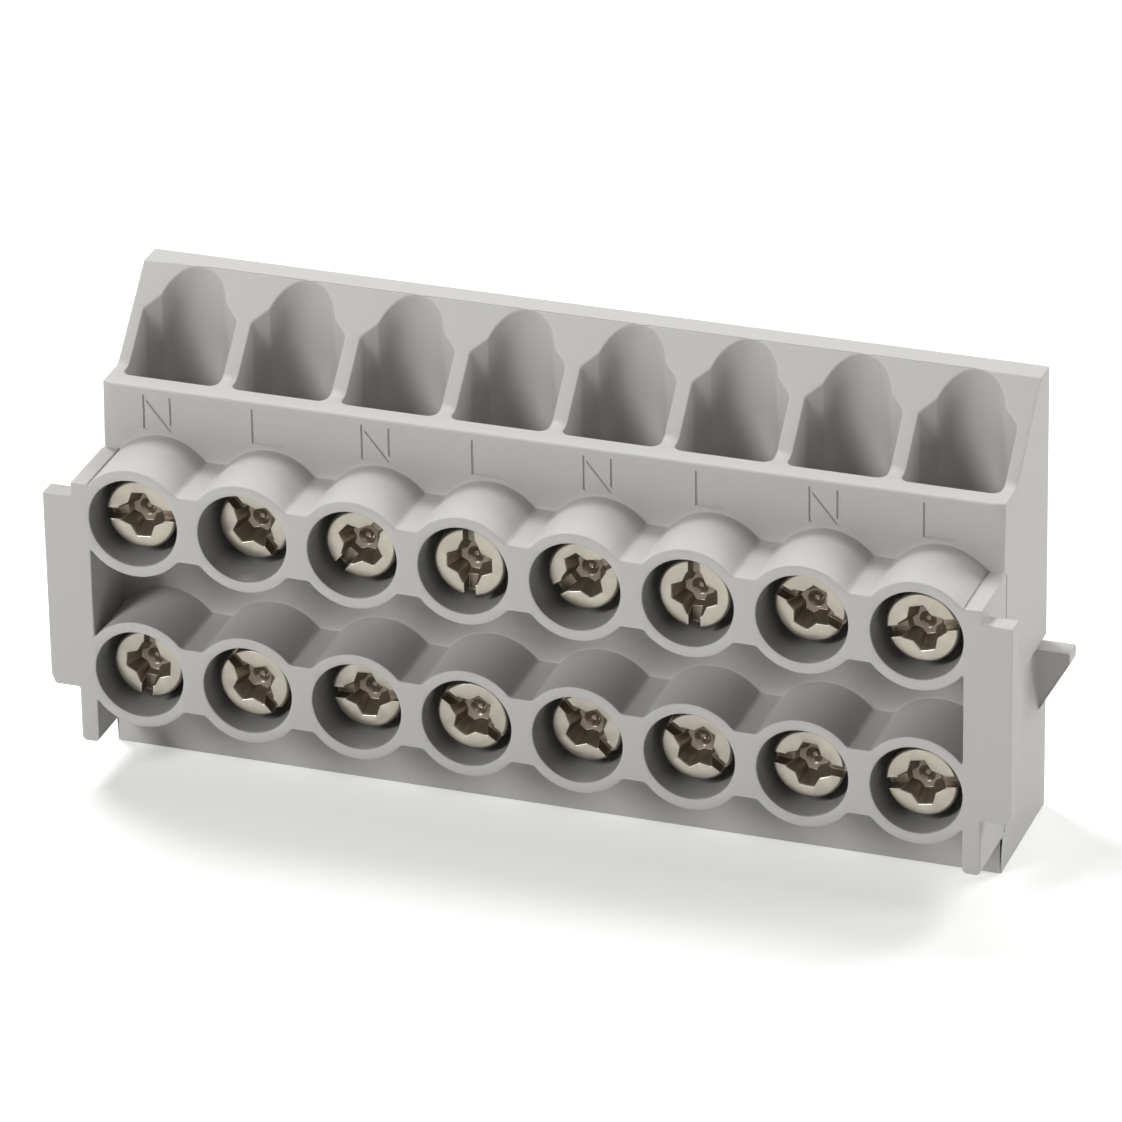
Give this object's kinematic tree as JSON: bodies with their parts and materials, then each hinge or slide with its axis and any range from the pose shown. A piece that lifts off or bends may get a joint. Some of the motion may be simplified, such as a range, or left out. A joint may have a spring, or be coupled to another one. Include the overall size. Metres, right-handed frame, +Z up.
{
  "type": "distribution terminal block",
  "caption": "Moulded terminal block with two rows of recessed clamp screws, wire funnels in a sloped top, guide ears and snap latches at its ends, and brass terminals inside.",
  "frame": {"origin": "middle of the footprint, on the surface that the block stands on", "axes": "+X along the length, +Y from the screw towers to the back, +Z up"},
  "size_m": [0.0952, 0.0226, 0.046],
  "materials": {
    "housing": "light warm grey moulded plastic with a fine even grain",
    "terminal": "extruded and drilled brass with nickel plating",
    "screw": "nickel-plated steel with a warm tone",
    "plate": "zinc-plated stamped steel"
  },
  "bodies": {
    "block": {"housing": "housing", "terminal_1": "terminal", "terminal_2": "terminal", "terminal_3": "terminal", "terminal_4": "terminal", "terminal_5": "terminal", "terminal_6": "terminal", "terminal_7": "terminal", "terminal_8": "terminal"},
    "upper_plate_1": {"upper_plate_1": "plate"},
    "upper_screw_1": {"upper_screw_1": "screw"},
    "upper_plate_2": {"upper_plate_2": "plate"},
    "upper_screw_2": {"upper_screw_2": "screw"},
    "upper_plate_3": {"upper_plate_3": "plate"},
    "upper_screw_3": {"upper_screw_3": "screw"},
    "upper_plate_4": {"upper_plate_4": "plate"},
    "upper_screw_4": {"upper_screw_4": "screw"},
    "upper_plate_5": {"upper_plate_5": "plate"},
    "upper_screw_5": {"upper_screw_5": "screw"},
    "upper_plate_6": {"upper_plate_6": "plate"},
    "upper_screw_6": {"upper_screw_6": "screw"},
    "upper_plate_7": {"upper_plate_7": "plate"},
    "upper_screw_7": {"upper_screw_7": "screw"},
    "upper_plate_8": {"upper_plate_8": "plate"},
    "upper_screw_8": {"upper_screw_8": "screw"},
    "lower_plate_1": {"lower_plate_1": "plate"},
    "lower_screw_1": {"lower_screw_1": "screw"},
    "lower_plate_2": {"lower_plate_2": "plate"},
    "lower_screw_2": {"lower_screw_2": "screw"},
    "lower_plate_3": {"lower_plate_3": "plate"},
    "lower_screw_3": {"lower_screw_3": "screw"},
    "lower_plate_4": {"lower_plate_4": "plate"},
    "lower_screw_4": {"lower_screw_4": "screw"},
    "lower_plate_5": {"lower_plate_5": "plate"},
    "lower_screw_5": {"lower_screw_5": "screw"},
    "lower_plate_6": {"lower_plate_6": "plate"},
    "lower_screw_6": {"lower_screw_6": "screw"},
    "lower_plate_7": {"lower_plate_7": "plate"},
    "lower_screw_7": {"lower_screw_7": "screw"},
    "lower_plate_8": {"lower_plate_8": "plate"},
    "lower_screw_8": {"lower_screw_8": "screw"}
  },
  "joints": [
    {"name": "upper_plate_1_slide", "type": "slide", "parent": "block", "child": "upper_plate_1", "axis": [0, 1, 0], "range_m": [-0.0005, 0.0023]},
    {"name": "upper_screw_1_turn", "type": "hinge", "parent": "upper_plate_1", "child": "upper_screw_1", "pos_m": [-0.0385, -0.00915, 0.028], "axis": [0, 1, 0], "range_deg": [-257.14, 1182.86]},
    {"name": "upper_plate_2_slide", "type": "slide", "parent": "block", "child": "upper_plate_2", "axis": [0, 1, 0], "range_m": [-0.0016, 0.0012]},
    {"name": "upper_screw_2_turn", "type": "hinge", "parent": "upper_plate_2", "child": "upper_screw_2", "pos_m": [-0.0275, -0.00805, 0.028], "axis": [0, 1, 0], "range_deg": [-822.86, 617.14]},
    {"name": "upper_plate_3_slide", "type": "slide", "parent": "block", "child": "upper_plate_3", "axis": [0, 1, 0], "range_m": [-0.0007, 0.0021]},
    {"name": "upper_screw_3_turn", "type": "hinge", "parent": "upper_plate_3", "child": "upper_screw_3", "pos_m": [-0.0165, -0.00895, 0.028], "axis": [0, 1, 0], "range_deg": [-360, 1080]},
    {"name": "upper_plate_4_slide", "type": "slide", "parent": "block", "child": "upper_plate_4", "axis": [0, 1, 0], "range_m": [-0.0002, 0.0026]},
    {"name": "upper_screw_4_turn", "type": "hinge", "parent": "upper_plate_4", "child": "upper_screw_4", "pos_m": [-0.0055, -0.00945, 0.028], "axis": [0, 1, 0], "range_deg": [-102.86, 1337.14]},
    {"name": "upper_plate_5_slide", "type": "slide", "parent": "block", "child": "upper_plate_5", "axis": [0, 1, 0], "range_m": [-0.0009, 0.0019]},
    {"name": "upper_screw_5_turn", "type": "hinge", "parent": "upper_plate_5", "child": "upper_screw_5", "pos_m": [0.0055, -0.00875, 0.028], "axis": [0, 1, 0], "range_deg": [-462.86, 977.14]},
    {"name": "upper_plate_6_slide", "type": "slide", "parent": "block", "child": "upper_plate_6", "axis": [0, 1, 0], "range_m": [-0.0003, 0.0025]},
    {"name": "upper_screw_6_turn", "type": "hinge", "parent": "upper_plate_6", "child": "upper_screw_6", "pos_m": [0.0165, -0.00935, 0.028], "axis": [0, 1, 0], "range_deg": [-154.29, 1285.71]},
    {"name": "upper_plate_7_slide", "type": "slide", "parent": "block", "child": "upper_plate_7", "axis": [0, 1, 0], "range_m": [-0.001, 0.0018]},
    {"name": "upper_screw_7_turn", "type": "hinge", "parent": "upper_plate_7", "child": "upper_screw_7", "pos_m": [0.0275, -0.00865, 0.028], "axis": [0, 1, 0], "range_deg": [-514.29, 925.71]},
    {"name": "upper_plate_8_slide", "type": "slide", "parent": "block", "child": "upper_plate_8", "axis": [0, 1, 0], "range_m": [-0.0001, 0.0027]},
    {"name": "upper_screw_8_turn", "type": "hinge", "parent": "upper_plate_8", "child": "upper_screw_8", "pos_m": [0.0385, -0.00955, 0.028], "axis": [0, 1, 0], "range_deg": [-51.43, 1388.57]},
    {"name": "lower_plate_1_slide", "type": "slide", "parent": "block", "child": "lower_plate_1", "axis": [0, 1, 0], "range_m": [-0.0007, 0.0021]},
    {"name": "lower_screw_1_turn", "type": "hinge", "parent": "lower_plate_1", "child": "lower_screw_1", "pos_m": [-0.0385, -0.00895, 0.012], "axis": [0, 1, 0], "range_deg": [-360, 1080]},
    {"name": "lower_plate_2_slide", "type": "slide", "parent": "block", "child": "lower_plate_2", "axis": [0, 1, 0], "range_m": [-0.0001, 0.0027]},
    {"name": "lower_screw_2_turn", "type": "hinge", "parent": "lower_plate_2", "child": "lower_screw_2", "pos_m": [-0.0275, -0.00955, 0.012], "axis": [0, 1, 0], "range_deg": [-51.43, 1388.57]},
    {"name": "lower_plate_3_slide", "type": "slide", "parent": "block", "child": "lower_plate_3", "axis": [0, 1, 0], "range_m": [-0.0012, 0.0016]},
    {"name": "lower_screw_3_turn", "type": "hinge", "parent": "lower_plate_3", "child": "lower_screw_3", "pos_m": [-0.0165, -0.00845, 0.012], "axis": [0, 1, 0], "range_deg": [-617.14, 822.86]},
    {"name": "lower_plate_4_slide", "type": "slide", "parent": "block", "child": "lower_plate_4", "axis": [0, 1, 0], "range_m": [0, 0.0028]},
    {"name": "lower_screw_4_turn", "type": "hinge", "parent": "lower_plate_4", "child": "lower_screw_4", "pos_m": [-0.0055, -0.00965, 0.012], "axis": [0, 1, 0], "range_deg": [0, 1440]},
    {"name": "lower_plate_5_slide", "type": "slide", "parent": "block", "child": "lower_plate_5", "axis": [0, 1, 0], "range_m": [-0.001, 0.0018]},
    {"name": "lower_screw_5_turn", "type": "hinge", "parent": "lower_plate_5", "child": "lower_screw_5", "pos_m": [0.0055, -0.00865, 0.012], "axis": [0, 1, 0], "range_deg": [-514.29, 925.71]},
    {"name": "lower_plate_6_slide", "type": "slide", "parent": "block", "child": "lower_plate_6", "axis": [0, 1, 0], "range_m": [-0.0005, 0.0023]},
    {"name": "lower_screw_6_turn", "type": "hinge", "parent": "lower_plate_6", "child": "lower_screw_6", "pos_m": [0.0165, -0.00915, 0.012], "axis": [0, 1, 0], "range_deg": [-257.14, 1182.86]},
    {"name": "lower_plate_7_slide", "type": "slide", "parent": "block", "child": "lower_plate_7", "axis": [0, 1, 0], "range_m": [-0.0003, 0.0025]},
    {"name": "lower_screw_7_turn", "type": "hinge", "parent": "lower_plate_7", "child": "lower_screw_7", "pos_m": [0.0275, -0.00935, 0.012], "axis": [0, 1, 0], "range_deg": [-154.29, 1285.71]},
    {"name": "lower_plate_8_slide", "type": "slide", "parent": "block", "child": "lower_plate_8", "axis": [0, 1, 0], "range_m": [-0.0001, 0.0027]},
    {"name": "lower_screw_8_turn", "type": "hinge", "parent": "lower_plate_8", "child": "lower_screw_8", "pos_m": [0.0385, -0.00955, 0.012], "axis": [0, 1, 0], "range_deg": [-51.43, 1388.57]}
  ],
  "couplings": [
    {"joint": "upper_screw_1_turn", "follows": "upper_plate_1_slide", "rad_per_m": 8976},
    {"joint": "upper_screw_2_turn", "follows": "upper_plate_2_slide", "rad_per_m": 8976},
    {"joint": "upper_screw_3_turn", "follows": "upper_plate_3_slide", "rad_per_m": 8976},
    {"joint": "upper_screw_4_turn", "follows": "upper_plate_4_slide", "rad_per_m": 8976},
    {"joint": "upper_screw_5_turn", "follows": "upper_plate_5_slide", "rad_per_m": 8976},
    {"joint": "upper_screw_6_turn", "follows": "upper_plate_6_slide", "rad_per_m": 8976},
    {"joint": "upper_screw_7_turn", "follows": "upper_plate_7_slide", "rad_per_m": 8976},
    {"joint": "upper_screw_8_turn", "follows": "upper_plate_8_slide", "rad_per_m": 8976},
    {"joint": "lower_screw_1_turn", "follows": "lower_plate_1_slide", "rad_per_m": 8976},
    {"joint": "lower_screw_2_turn", "follows": "lower_plate_2_slide", "rad_per_m": 8976},
    {"joint": "lower_screw_3_turn", "follows": "lower_plate_3_slide", "rad_per_m": 8976},
    {"joint": "lower_screw_4_turn", "follows": "lower_plate_4_slide", "rad_per_m": 8976},
    {"joint": "lower_screw_5_turn", "follows": "lower_plate_5_slide", "rad_per_m": 8976},
    {"joint": "lower_screw_6_turn", "follows": "lower_plate_6_slide", "rad_per_m": 8976},
    {"joint": "lower_screw_7_turn", "follows": "lower_plate_7_slide", "rad_per_m": 8976},
    {"joint": "lower_screw_8_turn", "follows": "lower_plate_8_slide", "rad_per_m": 8976}
  ]
}
